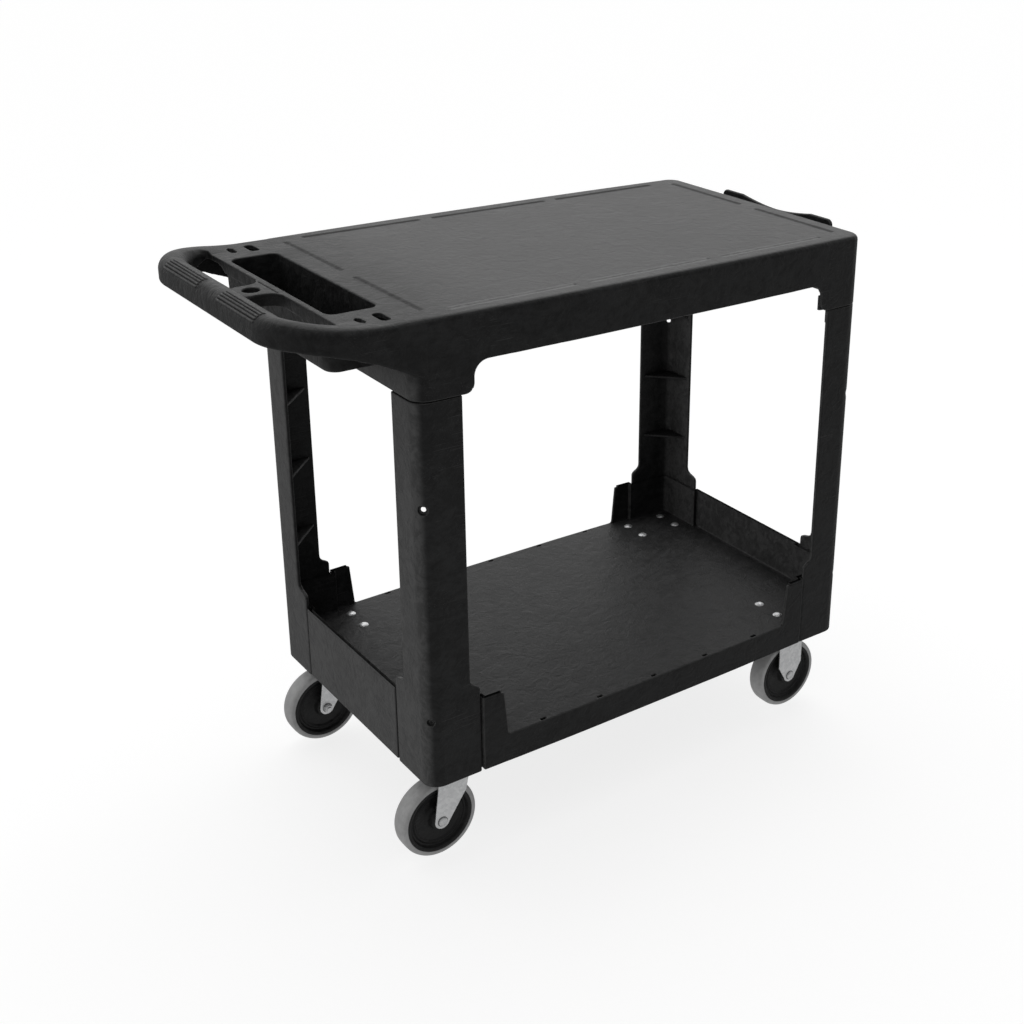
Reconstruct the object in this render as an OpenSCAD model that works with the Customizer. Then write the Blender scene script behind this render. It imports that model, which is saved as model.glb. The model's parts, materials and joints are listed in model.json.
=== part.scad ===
// Two-shelf service trolley in moulded structural foam: flat deck with a rising
// push handle and a tool tray, a lower shelf with raised ends, four L-section
// corner posts, two swivel casters under the handle and two rigid casters at
// the front. Millimetres, +Z up, ground at z = 0, origin under the middle of
// the bounding box. +X is the front, the operator stands at -X, left is +Y.

/* [Body] */
// Length over the outer faces of the corner posts
body_length = 808; // [780:2:840]
// Width over the outer faces of the corner posts
body_width = 486; // [466:2:506]
// Height of the flat upper deck above the ground
deck_height = 856; // [840:2:900]
// Height of the lower shelf floor above the ground
floor_height = 196; // [194:1:204]
// Height of the joint line between posts and upper shelf
seam_height = 742; // [724:2:748]
// Height of the lower edge of the lower shelf and posts
base_height = 147; // [146:0.5:149]
// Outward bow of each long side at mid length
side_bow = 6; // [0:1:8]
// Wall thickness of the moulded shelves
wall = 5.5; // [5:0.25:6]

/* [Upper shelf] */
// Height of the underside of the long skirts
skirt_height = 787; // [780:1:795]
// Inner length of the tool tray along the trolley
tray_length = 72; // [60:1:73]
// Inner width of the tool tray across the trolley
tray_width = 316; // [280:1:318]
// Depth of the tool tray below the deck
tray_depth = 76; // [60:1:78]
// Diameter of the round hole in the handle web
web_hole_diameter = 24; // [20:0.5:26]
// Height of the handle crest above the deck
handle_rise = 14; // [10:1:16]

/* [Lower shelf] */
// Height of the top edge of the raised ends
end_wall_top = 269; // [250:1:272]
// Length of one drain slot
drain_length = 10; // [8:0.5:14]

/* [Posts] */
// Width of a post flange
post_flange = 70; // [66:1:72]
// Wall thickness of a post
post_wall = 6; // [6:0.1:6.4]
// Diameter of the accessory hole through each post corner
accessory_hole = 8.5; // [6:0.5:9]
// Height of the accessory hole
accessory_height = 588; // [560:1:600]

/* [Casters] */
// Wheel diameter
wheel_diameter = 125; // [124:0.5:125]
// Tyre width
wheel_width = 32; // [30:0.5:33]
// Horizontal distance from kingpin to wheel axle
caster_trail = 35.3; // [34:0.1:36]
// Bolt spacing of a caster plate along the trolley
bolt_pitch_x = 78; // [76:0.5:80]
// Bolt spacing of a caster plate across the trolley
bolt_pitch_y = 46; // [44:0.5:48]
// Distance of the caster centres from the middle of the trolley
caster_half_track = 190; // [188:0.5:191]

/* [Hidden] */
$fn = 48;
body_shift = 70;               // middle of the body forward of the origin
half_length = body_length / 2;
half_width = body_width / 2;
corner_radius = 25;
rib = 4;                       // thickness of ribs and gussets
past_side = 270;               // half width of cuts that pass both long sides
post_screw_z = 256;
rear_x = -335;                 // caster plate centres, from the middle of the body
front_x = 330;
plate_top = 158;
plate_thickness = 3.5;
bolt_hole_radius = 4.3;
right = -1;                    // signs of the sides and ends
left = 1;
rear = -1;
front = 1;

plastic = [0.14, 0.14, 0.145];
lower_plastic = [0.17, 0.17, 0.175];
zinc = [0.72, 0.73, 0.75];
tyre_grey = [0.52, 0.52, 0.53];
core_black = [0.09, 0.09, 0.09];

// ---------- outlines ----------
function arc(x, y, radius, start, end, steps) = [for (i = [0:steps])
    let (angle = start + (end - start) * i / steps)
    [x + radius * cos(angle), y + radius * sin(angle)]];
// closes half an outline with its mirror image; flip is [-1, 1] or [1, -1]
function mirrored(half, flip) = concat(half,
    [for (i = [len(half) - 1:-1:0]) [half[i].x * flip.x, half[i].y * flip.y]]);
// closes half an outline with the same half turned by 180 degrees
function turned(half) = concat(half, [for (point = half) -point]);
function rounded_rectangle(x_min, x_max, half_y, radius, steps) = concat(
    arc(x_max - radius, half_y - radius, radius, 0, 90, steps),
    arc(x_min + radius, half_y - radius, radius, 90, 180, steps),
    arc(x_min + radius, radius - half_y, radius, 180, 270, steps),
    arc(x_max - radius, radius - half_y, radius, 270, 360, steps));

// extra half width of the bowed long side at x, full within bow_flat of the middle
bow_flat = 120;
function bow(x) = side_bow * (1 - pow(max(0, (abs(x) - bow_flat) / (half_length - bow_flat)), 1.6));
bow_stations = [300, 240, 180, 0, -180, -240, -300];

function body_outline(inset) =
    let (radius = corner_radius - min(inset, 18),
         x = half_length - inset - radius,
         y = half_width - inset - radius)
    turned(concat(
        arc(x, y, radius, 0, 90, 6),
        [for (x = concat([360], bow_stations, [-360])) [x, half_width - inset + bow(x)]],
        arc(-x, y, radius, 90, 180, 6)));

// ---------- placing and shaping helpers ----------
module body_frame() translate([body_shift, 0, 0]) children();
module body_slab(inset, bottom, top) translate([0, 0, bottom])
    linear_extrude(top - bottom) polygon(body_outline(inset));
module rounded_block(x_min, x_max, half_y, radius, bottom, height) translate([0, 0, bottom])
    linear_extrude(height) polygon(rounded_rectangle(x_min, x_max, half_y, radius, 5));
// plate standing along X: profile in x, z
module side_plate(profile, y_min, y_max) translate([0, y_max, 0]) rotate([90, 0, 0])
    linear_extrude(y_max - y_min) polygon(profile);
// plate standing along Y: profile in y, z
module end_plate(profile, x_min, x_max) translate([x_min, 0, 0]) rotate([90, 0, 90])
    linear_extrude(x_max - x_min) polygon(profile);
// corner frame: outer post corner at the origin, +X and +Y along the flanges
module at_corner(end, side) translate([end * half_length, side * half_width, 0])
    mirror([end > 0 ? 1 : 0, 0, 0]) mirror([0, side > 0 ? 1 : 0, 0]) children();
// in a corner frame, turns +Z to the inward diagonal at height z
module on_diagonal(z) translate([0, 0, z]) rotate([0, 0, 45]) rotate([0, 90, 0]) children();
module at_plate_bolts() for (i = [-1, 1], j = [-1, 1])
    translate([i * bolt_pitch_x / 2, j * bolt_pitch_y / 2, 0]) children();
module at_all_bolts() for (x = [rear_x, front_x], side = [right, left])
    translate([x, side * caster_half_track, 0]) at_plate_bolts() children();

// ---------- handle ----------
// A shell swept from one side of the body round both rear corners to the other.
// angle is the place in the corner, 0 at the grip and 90 at the arm;
// run is the distance along the arm after it.
handle_corner_x = -484;
handle_corner_y = 148;
crest_per_degree = 1.344;      // length of the crest for one degree of the corner
crest_level_angle = 20;        // the crest starts to fall here
crest_fall_length = 146;

// lower edge of the outer wall below the deck: [run, depth] and [angle, depth]
arm_hem = [[0, 37], [6, 40], [29, 48.5], [54, 60], [84, 76], [105, 86]];
corner_hem = [[0, 21.5], [30, 21.5], [45, 22.5], [52, 24], [65, 27], [75, 30.5], [84, 34.5],
              [90, 37]];

function smooth(t) = let (u = max(0, min(1, t))) u * u * (3 - 2 * u);
function crest_rise(angle, run) = handle_rise
    * (1 - smooth(((angle - crest_level_angle) * crest_per_degree + run) / crest_fall_length));
function hem_depth(angle, run) = run > 0 ? lookup(run, arm_hem) : lookup(angle, corner_hem);
// depth of the inner wall
function lip_depth(angle, run) = run > 0 ? 6 : 18 - 12 * smooth((angle - 60) / 30);

// [distance outwards from the corner centre, height over the deck]
function handle_section(crest, hem, lip) = [
    [50, -lip], [50, -1], [55, 0.28 * crest], [62, 0.62 * crest], [70, 0.92 * crest],
    [77, crest], [84, 0.86 * crest], [90, -1.6 + 0.55 * crest], [93.8, -5.5 + 0.32 * crest],
    [95, -9.5 + 0.1 * crest], [95, 5 - hem], [92.5, 1.5 - hem], [90, -hem], [86.5, -hem],
    [86.5, -9 + 0.2 * crest], [83, -6 + 0.5 * crest], [77, -7 + crest],
    [66, -6.5 + 0.75 * crest], [57, -6.5 + 0.3 * crest], [55, -lip - 0.01]];

// [angle, run] from the end of an arm to the grip
half_sweep = concat([for (run = [105, 84, 69, 54, 41, 29, 18, 9, 3]) [90, run]],
                    [for (angle = [90:-10:0]) [angle, 0]]);

function handle_ring(side, station) = let (angle = station[0], run = station[1])
    [for (p = handle_section(crest_rise(angle, run), hem_depth(angle, run), lip_depth(angle, run)))
        [handle_corner_x + run - p.x * cos(angle),
         side * (handle_corner_y + p.x * sin(angle)),
         deck_height + p.y]];

module handle() {
    rings = concat([for (station = half_sweep) handle_ring(left, station)],
        [for (i = [len(half_sweep) - 1:-1:0]) handle_ring(right, half_sweep[i])]);
    size = len(rings[0]);
    last = len(rings) - 1;
    // two triangles between each pair of neighbouring rings and points
    walls = [for (i = [0:last - 1], k = [0:size - 1])
        let (next = (k + 1) % size, here = i * size, there = here + size)
        each [[here + k, there + k, there + next], [here + k, there + next, here + next]]];
    start_cap = [for (k = [0:size - 1]) k];
    end_cap = [for (k = [size - 1:-1:0]) last * size + k];
    polyhedron(points = [for (ring = rings) each ring],
               faces = concat(walls, [start_cap, end_cap]));
}

// grip ridges on each half of the grip
ridge_start = 34;
ridge_length = 116;
ridge_rises = [13.2, 13.8, 12.6, 9.6, 4.6];   // for a handle rise of 14
module grip_ridges() for (side = [right, left], i = [0:4])
    translate([-556 - 4.4 * i, side > 0 ? ridge_start + ridge_length : -ridge_start,
               deck_height + ridge_rises[i] / 14 * handle_rise])
    rotate([90, 0, 0]) cylinder(r = 1.3, h = ridge_length, $fn = 16);

// ---------- upper shelf ----------
web_hole_x = -514;
web_hole_radius = web_hole_diameter / 2;
tray_rear = -478.5;            // rear inner edge of the tray
tray_floor = 4.5;              // thickness of the tray floor
tray_bottom = deck_height - tray_depth - tray_floor;
groove_depth = 0.9;

// opening under each long skirt, x, z
arch = mirrored(concat([[-334, seam_height - 4]],
    arc(-326, seam_height + 12, 12, 270, 360, 4),
    arc(-292, skirt_height - 22, 22, 180, 90, 6)), [-1, 1]);
// plate between body and handle, x, y
web_outline = mirrored([[-398, -234], [-484, -234], [-487, -200], [-487, -42], [-496, -31],
    [-506, -26], [-524, -25.5], [-536, -32]], [1, -1]);
// left hand opening between tray and grip, x, y
hand_opening = [[-487.5, 206], [-491, 209], [-497, 208.5], [-506, 204], [-516, 197],
    [-525, 187], [-531, 173], [-533.8, 152], [-534, 60], [-533.5, 30], [-524, 25.5],
    [-505, 26], [-495, 31], [-489, 40], [-487.5, 48]];
// start and end of the deck grooves along each long side, x
side_grooves = [[-337, -135], [-113, 105], [127, 330]];

module deck_shell() difference() {
    hull() {
        body_slab(0, seam_height, deck_height - 9);
        body_slab(2.6, deck_height - 10, deck_height - 2.6);
        body_slab(9, deck_height - 4, deck_height);
    }
    body_slab(wall, seam_height - 1, deck_height - 6);
}

module deck_ribs() {
    for (y = [-120, 0, 120]) translate([-half_length + 3, y - rib / 2, deck_height - 40])
        cube([body_length - 6, rib, 36]);
    for (x = [-270, -135, 0, 135, 270]) translate([x - rib / 2, -half_width + 2, deck_height - 40])
        cube([rib, body_width - 4, 36]);
}

module tray_body() hull() {
    rounded_block(-487, -400, 164, 14, deck_height - 50, 49);
    rounded_block(-485, -400, 162, 14, tray_bottom + 18, 1);
    rounded_block(-481, -400, 158, 12, tray_bottom + 5, 1);
    rounded_block(-474, -400, 151, 10, tray_bottom, 1);
}

// one level of the cavity, drawn in from the rim at the ends and the sides
module tray_level(end_inset, side_inset, radius, bottom, height)
    rounded_block(tray_rear + end_inset, tray_rear + tray_length - end_inset,
                  tray_width / 2 - side_inset, radius, bottom, height);
module tray_cavity() hull() {
    tray_level(0, 0, 17, deck_height - 6, 11);
    tray_level(1.5, 1.5, 16, tray_bottom + 20, 1);
    tray_level(4.5, 5, 13, tray_bottom + tray_floor, 1);
}

module web() {
    translate([0, 0, deck_height - 6]) linear_extrude(6) polygon(web_outline);
    // walls under the edges of the part between the hand openings
    for (side = [right, left]) translate([-536, side * 23 - 2, deck_height - 18])
        cube([50, 4, 14]);
    translate([web_hole_x, 0, deck_height - 20]) cylinder(r = web_hole_radius + 4, h = 18);
}

module hand_openings() for (side = [right, left])
    translate([0, 0, deck_height - 30]) linear_extrude(46)
    polygon([for (point = hand_opening) [point.x, side * point.y]]);

// beside the tray, a rectangular and a pointed slot on each side
module tie_slots() for (side = [right, left]) {
    translate([-432.5, side * 200 - 17.5, deck_height - 10]) cube([14, 35, 20]);
    translate([-456, side * 200.5, deck_height - 10]) linear_extrude(20)
        polygon([[-5, -8], [0, -13.5], [5, -8], [5, 8], [0, 13.5], [-5, 8]]);
}

module deck_grooves() {
    for (side = [right, left], groove = side_grooves)
        translate([groove[0], side * 217 - 4.5, deck_height - groove_depth])
        cube([groove[1] - groove[0], 9, 5]);
    for (x = [366, -376], side = [right, left])
        translate([x, side > 0 ? 20 : -204, deck_height - groove_depth]) cube([10, 184, 5]);
}

module top_shelf() color(plastic) body_frame() difference() {
    union() {
        deck_shell();
        deck_ribs();
        tray_body();
        web();
        handle();
        grip_ridges();
    }
    side_plate(arch, -past_side, past_side);
    tray_cavity();
    translate([web_hole_x, 0, deck_height - 30]) cylinder(r = web_hole_radius, h = 60);
    hand_openings();
    tie_slots();
    deck_grooves();
}

// ---------- lower shelf ----------
// the corners sit inside the post flanges, the sides and ends are flush with the posts
post_gap = 0.2;
inner_half_length = half_length - post_wall - post_gap;
inner_half_width = half_width - post_wall - post_gap;
function shelf_outline(inset) =
    let (radius = 19 - min(inset, 13),
         end = half_length - inset,
         inner_end = inner_half_length - inset,
         inner_side = inner_half_width - inset,
         step_y = half_width + bow(317) - inset)
    turned(concat(
        [[end, 146], [inner_end, 146.5]],
        arc(inner_end - radius, inner_side - radius, radius, 0, 90, 4),
        [[318, inner_side], [317.8, step_y]],
        [for (x = bow_stations) [x, half_width + bow(x) - inset]],
        [[-317.8, step_y], [-318, inner_side]],
        arc(radius - inner_end, inner_side - radius, radius, 90, 180, 4),
        [[-inner_end, 146.5], [-end, 146]]));
module shelf_slab(inset, bottom, top) translate([0, 0, bottom])
    linear_extrude(top - bottom) polygon(shelf_outline(inset));

// rim, raised ends and corner walls
module shelf_rim() difference() {
    shelf_slab(0, base_height + 2, end_wall_top);
    shelf_slab(wall, base_height, end_wall_top + 1);
    // the rim drops to floor level between the corner walls
    side_plate([[-280, end_wall_top + 1], [-273, floor_height], [273, floor_height],
                [280, end_wall_top + 1]], -past_side, past_side);
}

module bottom_shelf() color(lower_plastic) body_frame() difference() {
    union() {
        shelf_rim();
        // floor
        shelf_slab(0.5, floor_height - wall, floor_height);
        // stiffening ribs under the floor
        for (y = [-60, 60]) translate([-half_length + 3, y - rib / 2, floor_height - 24])
            cube([body_length - 6, rib, 20]);
        // caster pads
        for (x = [rear_x, front_x], side = [right, left])
            translate([x - 50, side * caster_half_track - 34, plate_top])
            cube([100, 68, floor_height - plate_top - 3]);
    }
    // drain slots along both sides
    for (x = [-210, -105, 0, 105, 210], side = [right, left])
        translate([x - drain_length / 2, side * 242.5 - 2.5, floor_height - 8])
        cube([drain_length, 5, 10]);
    at_all_bolts() translate([0, 0, plate_top - 1]) cylinder(r = bolt_hole_radius, h = 60);
    for (end = [rear, front], side = [right, left])
        at_corner(end, side) on_diagonal(post_screw_z) cylinder(r = 1.9, h = 40);
}

// ---------- posts ----------
flange_start = corner_radius - 1;
tongue_bottom = seam_height - 24;
tongue_top = seam_height + 25;
tongue_thickness = 5.5;

// flange profiles, distance from the corner and z; both widen at the foot
flange_along_x = [[flange_start, base_height], [86, base_height], [86, 287], [84.5, 291],
    [80, 294], [74.5, 297], [71, 301], [post_flange, 306], [post_flange, seam_height],
    [flange_start, seam_height]];
flange_along_y = [[flange_start, base_height], [96, base_height], [96, 285], [94.5, 290],
    [89, 293], [78, 296], [72, 300], [post_flange, 307], [post_flange, seam_height],
    [flange_start, seam_height]];
tongue = [[flange_start, tongue_bottom], [67, tongue_bottom], [67, seam_height - 1],
    [80, seam_height + 1], [80, seam_height + 22], [77, tongue_top], [flange_start, tongue_top]];

// two flanges and the round corner between them; depth is measured from the outer faces
module angle_wall(profile_x, profile_y, depth, thickness, bottom, top) {
    side_plate(profile_x, depth, depth + thickness);
    end_plate(profile_y, depth, depth + thickness);
    translate([corner_radius, corner_radius, bottom]) rotate([0, 0, 180])
        rotate_extrude(angle = 90) translate([corner_radius - depth - thickness, 0])
        square([thickness, top - bottom]);
}

// post in its corner frame
module post_body() difference() {
    union() {
        angle_wall(flange_along_x, flange_along_y, 0, post_wall, base_height, seam_height);
        // tongue that enters the upper shelf
        angle_wall(tongue, tongue, post_wall, tongue_thickness, tongue_bottom, tongue_top);
        // horizontal gussets inside the angle
        for (z = [366, 486, 606]) translate([0, 0, z - rib / 2]) linear_extrude(rib)
            polygon([[4, 20], [20, 4], [post_flange - 8, 4], [post_flange - 8, 8],
                     [8, post_flange - 8], [4, post_flange - 8]]);
    }
    // accessory hole and its countersink
    on_diagonal(accessory_height) {
        cylinder(r = accessory_hole / 2, h = 60);
        translate([0, 0, 4]) cylinder(r = accessory_hole / 2 + 2.5, h = 8.5);
    }
    // hole and seat of the lower fixing screw
    on_diagonal(post_screw_z) {
        cylinder(r = 2.6, h = 40);
        translate([0, 0, 4]) cylinder(r = 5.6, h = 10);
    }
}
module post(end, side) color(plastic) body_frame() at_corner(end, side) post_body();
module post_rear_right() post(rear, right);
module post_rear_left() post(rear, left);
module post_front_right() post(front, right);
module post_front_left() post(front, left);

// pan-head screws with a cross recess that fix the posts to the lower shelf corners
module post_screw() difference() {
    union() {
        translate([0, 0, 11.7]) cylinder(r1 = 3.6, r2 = 4.8, h = 1);
        translate([0, 0, 12.7]) cylinder(r = 4.8, h = 1.3);
        translate([0, 0, 13.9]) cylinder(r = 1.88, h = 12.5);
    }
    for (angle = [0, 90]) rotate([0, 0, angle]) translate([-2.8, -0.55, 11])
        cube([5.6, 1.1, 1.6]);
}
module post_screws() color(zinc) body_frame() for (end = [rear, front], side = [right, left])
    at_corner(end, side) on_diagonal(post_screw_z) post_screw();

// ---------- front hook rail ----------
rail_reach = 29;               // from the body to the inner face of the rail
rail_x = half_length + rail_reach;
rail_bottom = 798;
rail_dip = 86;                 // half length of the dip in the top edge
// y, z
rail_profile = concat([[-137, 806], [-137, deck_height - 14]],
    arc(-127, deck_height - 13.5, 10, 180, 90, 4),
    [for (i = [0:10]) let (y = rail_dip * (i / 5 - 1))
        [y, deck_height - 13 + 9.5 * pow(abs(y) / rail_dip, 1.7)]],
    arc(127, deck_height - 13.5, 10, 90, 0, 4),
    [[137, deck_height - 14], [137, 806], [129, rail_bottom], [-129, rail_bottom]]);

module at_rail_screws(x) for (y = [-76, 76], z = [791, 818])
    translate([x, y, z]) rotate([0, 90, 0]) children();
module hook_rail() color(plastic) body_frame() difference() {
    union() {
        end_plate(rail_profile, rail_x, rail_x + 6);
        // arms back to the body
        for (y = [-112, -40, 40, 112]) translate([half_length + 4, y - 3, 802])
            cube([rail_reach - 3, 6, 32]);
        // floor of the channel and flange against the body
        translate([half_length + 4, -129, rail_bottom]) cube([rail_reach - 3, 258, 5]);
        translate([half_length, -133, 784]) cube([5, 266, 52]);
    }
    at_rail_screws(half_length - 1) cylinder(r = 3.1, h = 8);
}
module hook_rail_screws() color(zinc) body_frame() at_rail_screws(half_length + 5) {
    cylinder(r = 5.5, h = 2.2);
    translate([0, 0, -4.9]) cylinder(r = 3.05, h = 5);
}

// ---------- caster fixings ----------
plate_bottom = plate_top - plate_thickness;
bolt_radius = 4;
bolt_tip = 147;

// flat disc cut to a spherical top
module dome_head(radius, height, sphere_radius) intersection() {
    cylinder(r = radius, h = height);
    translate([0, 0, height - sphere_radius]) sphere(r = sphere_radius);
}
// dome-headed bolts through floor, pad and caster plate
module caster_bolts() color(zinc) body_frame() at_all_bolts() {
    translate([0, 0, floor_height]) dome_head(8, 3.2, 12.5);
    translate([0, 0, bolt_tip]) cylinder(r = bolt_radius, h = floor_height - bolt_tip + 0.2);
}
// flange nuts under the caster plates
module caster_nuts() color(zinc) body_frame() at_all_bolts() difference() {
    union() {
        translate([0, 0, plate_bottom - 6.4]) cylinder(r = 6.9, h = 6.4, $fn = 6);
        translate([0, 0, plate_bottom - 1.4]) cylinder(r = 7.4, h = 1.4);
    }
    translate([0, 0, 140]) cylinder(r = bolt_radius, h = 20);
}

// ---------- caster frames ----------
wheel_radius = wheel_diameter / 2;
axle_z = wheel_radius;
axle_radius = 4;
kingpin_radius = 6;
kingpin_bottom = 141;
crown_bottom = 142;
crown_thickness = 3.5;
crown_top = crown_bottom + crown_thickness;
leg_inner = 19.5;              // faces of the legs from the wheel centre plane
leg_outer = leg_inner + 3;
leg_end_radius = 12.5;

// x, z from the kingpin
fork_leg = concat([[-36, crown_top], [16, crown_top], [14, 132], [10.8, 122], [6.8, 103],
    [-23.6, 58.5]], arc(-caster_trail, axle_z, leg_end_radius, -20, -180, 12), [[-39, 128]]);
// x, z from the axle
bracket_leg = concat([[-25.5, plate_top - 1], [-25.5, 83], [-12.3, 60]],
    arc(0, axle_z, leg_end_radius, 190, 350, 12),
    [[12.3, 60], [25.5, 83], [25.5, plate_top - 1]]);

module mounting_plate() translate([0, 0, plate_bottom]) linear_extrude(plate_thickness)
    polygon(rounded_rectangle(-49, 49, 33, 8, 6));
module plate_holes() at_plate_bolts() translate([0, 0, 150])
    cylinder(r = bolt_hole_radius, h = 12);
module leg_pair(profile) {
    side_plate(profile, -leg_outer, -leg_inner);
    side_plate(profile, leg_inner, leg_outer);
}
module axle_hole(x) translate([x, 40, axle_z]) rotate([90, 0, 0])
    cylinder(r = axle_radius + 0.02, h = 80);

module swivel_plate() color(zinc) difference() {
    union() {
        mounting_plate();
        // pressed bearing cup
        translate([0, 0, 149]) cylinder(r1 = 24, r2 = 28, h = 6);
    }
    plate_holes();
    translate([0, 0, 140]) cylinder(r = kingpin_radius + 0.02, h = 30);
}
module kingpin() color(zinc) {
    translate([0, 0, kingpin_bottom]) cylinder(r = kingpin_radius, h = plate_top - kingpin_bottom);
    translate([0, 0, 137.5]) cylinder(r1 = 8.5, r2 = 10.5, h = 4.3);
}
// dust ring that closes the gap between bearing cup and fork crown
module seal() color(zinc) difference() {
    translate([0, 0, crown_top]) cylinder(r = 26, h = 3.4);
    translate([0, 0, 144]) cylinder(r = 18, h = 6);
}
module swivel_fork() color(zinc) difference() {
    union() {
        translate([0, 0, crown_bottom]) cylinder(r = 34, h = crown_thickness);
        translate([0, 0, crown_bottom]) linear_extrude(crown_thickness)
            polygon([[-36, -leg_outer], [16, -leg_outer], [16, leg_outer], [-36, leg_outer]]);
        leg_pair(fork_leg);
    }
    translate([0, 0, 130]) cylinder(r = kingpin_radius + 0.05, h = 30);
    axle_hole(-caster_trail);
}
module rigid_bracket() color(zinc) difference() {
    union() {
        mounting_plate();
        leg_pair(bracket_leg);
    }
    plate_holes();
    axle_hole(0);
}

// ---------- axles and wheels, centred on the axle ----------
sleeve_radius = 6;
core_radius = 54;
half_tyre = wheel_width / 2;

// half sections: radius, place along the axle
core_half = [[sleeve_radius + 0.05, -19], [13, -19], [15, -17.5], [17.5, -9], [22, -7],
    [38, -8.5], [41, -11], [43.5, -9], [46, -10], [49, 1.5 - half_tyre],
    [51, 0.4 - half_tyre], [core_radius, 0.4 - half_tyre]];
tyre_half = concat([[core_radius, 0.6 - half_tyre]],
    arc(wheel_radius - 5.2, 5 - half_tyre, 5, -90, -15, 6),
    [[wheel_radius - 0.05, 8.5 - half_tyre], [wheel_radius, -4]]);

// turns +Z to the outer side of the trolley
module outwards(side) rotate([side > 0 ? -90 : 90, 0, 0]) children();
// axle bolt, head on the outer side
module axle(side) color(zinc) outwards(side) {
    translate([0, 0, -leg_outer - 8.5]) cylinder(r = axle_radius, h = 2 * leg_outer + 8.6);
    translate([0, 0, leg_outer]) dome_head(7, 3.2, 10.8);
}
module axle_nut(side) color(zinc) outwards(side) difference() {
    translate([0, 0, -leg_outer - 6.5]) cylinder(r = 7.2, h = 6.5, $fn = 6);
    translate([0, 0, -60]) cylinder(r = axle_radius, h = 60);
}
module sleeve() color(zinc) rotate([90, 0, 0]) difference() {
    translate([0, 0, -leg_inner]) cylinder(r = sleeve_radius, h = 2 * leg_inner);
    translate([0, 0, -30]) cylinder(r = axle_radius + 0.05, h = 60);
}
module core() color(core_black) rotate([90, 0, 0])
    rotate_extrude() polygon(mirrored(core_half, [1, -1]));
module tyre() color(tyre_grey) rotate([90, 0, 0])
    rotate_extrude($fn = 96) polygon(mirrored(tyre_half, [1, -1]));

// ---------- caster nodes ----------
module place(x, side, z) translate([body_shift + x, side * caster_half_track, z]) children();
module at_rear(side) place(rear_x, side, 0) children();
module at_rear_wheel(side) place(rear_x - caster_trail, side, axle_z) children();
module at_front(side) place(front_x, side, 0) children();
module at_front_wheel(side) place(front_x, side, axle_z) children();

module rear_right_plate() at_rear(right) swivel_plate();
module rear_left_plate() at_rear(left) swivel_plate();
module rear_right_kingpin() at_rear(right) kingpin();
module rear_left_kingpin() at_rear(left) kingpin();
module rear_right_fork() at_rear(right) swivel_fork();
module rear_left_fork() at_rear(left) swivel_fork();
module rear_right_seal() at_rear(right) seal();
module rear_left_seal() at_rear(left) seal();
module rear_right_axle() at_rear_wheel(right) axle(right);
module rear_left_axle() at_rear_wheel(left) axle(left);
module rear_right_axle_nut() at_rear_wheel(right) axle_nut(right);
module rear_left_axle_nut() at_rear_wheel(left) axle_nut(left);
module rear_right_sleeve() at_rear_wheel(right) sleeve();
module rear_left_sleeve() at_rear_wheel(left) sleeve();
module rear_right_core() at_rear_wheel(right) core();
module rear_left_core() at_rear_wheel(left) core();
module rear_right_tyre() at_rear_wheel(right) tyre();
module rear_left_tyre() at_rear_wheel(left) tyre();
module front_right_bracket() at_front(right) rigid_bracket();
module front_left_bracket() at_front(left) rigid_bracket();
module front_right_axle() at_front_wheel(right) axle(right);
module front_left_axle() at_front_wheel(left) axle(left);
module front_right_axle_nut() at_front_wheel(right) axle_nut(right);
module front_left_axle_nut() at_front_wheel(left) axle_nut(left);
module front_right_sleeve() at_front_wheel(right) sleeve();
module front_left_sleeve() at_front_wheel(left) sleeve();
module front_right_core() at_front_wheel(right) core();
module front_left_core() at_front_wheel(left) core();
module front_right_tyre() at_front_wheel(right) tyre();
module front_left_tyre() at_front_wheel(left) tyre();

top_shelf();
bottom_shelf();
post_rear_right();
post_rear_left();
post_front_right();
post_front_left();
hook_rail();
hook_rail_screws();
post_screws();
caster_bolts();
caster_nuts();
rear_right_plate();
rear_right_kingpin();
rear_right_fork();
rear_right_seal();
rear_right_axle();
rear_right_axle_nut();
rear_right_sleeve();
rear_right_core();
rear_right_tyre();
rear_left_plate();
rear_left_kingpin();
rear_left_fork();
rear_left_seal();
rear_left_axle();
rear_left_axle_nut();
rear_left_sleeve();
rear_left_core();
rear_left_tyre();
front_right_bracket();
front_right_axle();
front_right_axle_nut();
front_right_sleeve();
front_right_core();
front_right_tyre();
front_left_bracket();
front_left_axle();
front_left_axle_nut();
front_left_sleeve();
front_left_core();
front_left_tyre();
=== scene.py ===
"""Looks of the service trolley: moulded shelves, posts and rail, zinc casters, grey tyres.

Shapes are signed distance functions in millimetres, measured from the middle of the four posts at ground level. They
are meshed on grids of unequal steps and moved 70 mm along X into the row frame, in metres, when the mesh is made.
"""

import json
import math

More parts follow.
